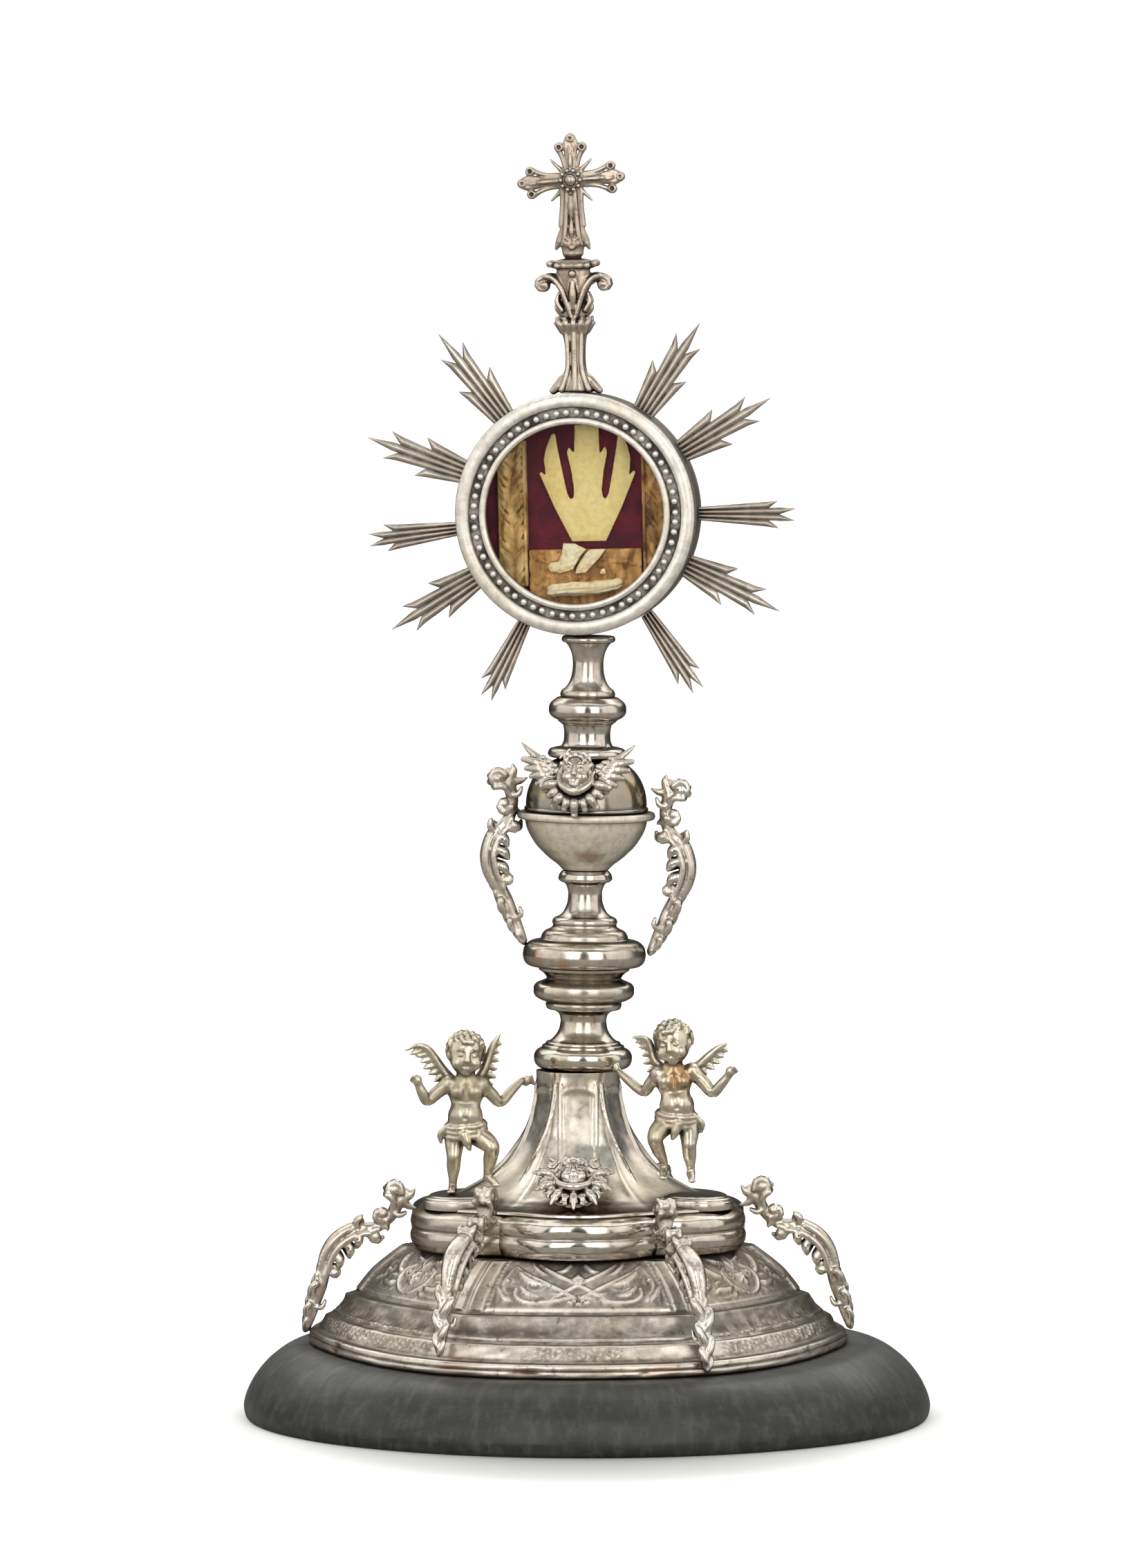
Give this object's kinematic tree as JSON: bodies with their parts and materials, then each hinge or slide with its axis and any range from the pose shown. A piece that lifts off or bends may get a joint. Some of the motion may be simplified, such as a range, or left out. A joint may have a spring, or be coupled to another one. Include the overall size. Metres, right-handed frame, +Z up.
{
  "type": "reliquary",
  "caption": "Silver altar reliquary with a round glazed relic case in a sunburst, on a knopped stem with putti and a six-sided domed foot, on a dark turned wooden base.",
  "frame": {"origin": "middle of the wooden base's underside, on the floor", "axes": "+Z up, the relic window faces -Y, +X is the viewer's right"},
  "size_m": [0.2346, 0.2346, 0.438],
  "materials": {
    "stained_wood": "black-stained and waxed, satin",
    "silver": "raised and turned silver, worn polish with brown-grey tarnish",
    "cast_silver": "cast and chased silver with dark tarnish in the hollows",
    "window_glass": "clear flat glass",
    "velvet": "crimson silk velvet",
    "gilt": "matt gilt card",
    "straw_work": "brown and gold straw work",
    "relic": "aged cream, dry"
  },
  "bodies": {
    "root": {"wood_base": "stained_wood", "foot": "silver", "shoulder": "silver", "bell": "silver", "foot_bracket_1": "cast_silver", "foot_bracket_2": "cast_silver", "foot_bracket_3": "cast_silver", "foot_bracket_4": "cast_silver", "foot_bracket_5": "cast_silver", "foot_bracket_6": "cast_silver", "putto_left": "cast_silver", "putto_right": "cast_silver", "bell_mask": "cast_silver", "lower_stem": "silver", "baluster": "silver", "cup": "silver", "cover": "silver", "neck": "silver", "handle_left": "cast_silver", "handle_right": "cast_silver", "cherub_mask": "cast_silver", "case_drum": "silver", "case_bezel": "silver", "glass": "window_glass", "velvet_panel": "velvet", "gilt_rays": "gilt", "border_left": "straw_work", "border_right": "straw_work", "border_floor": "straw_work", "relic_left": "relic", "relic_right": "relic", "relic_roll": "relic", "ray_1": "silver", "ray_2": "silver", "ray_3": "silver", "ray_4": "silver", "ray_5": "silver", "ray_6": "silver", "ray_7": "silver", "ray_8": "silver", "ray_9": "silver", "ray_10": "silver", "finial_stem": "cast_silver", "finial_cross": "cast_silver"}
  },
  "joints": []
}
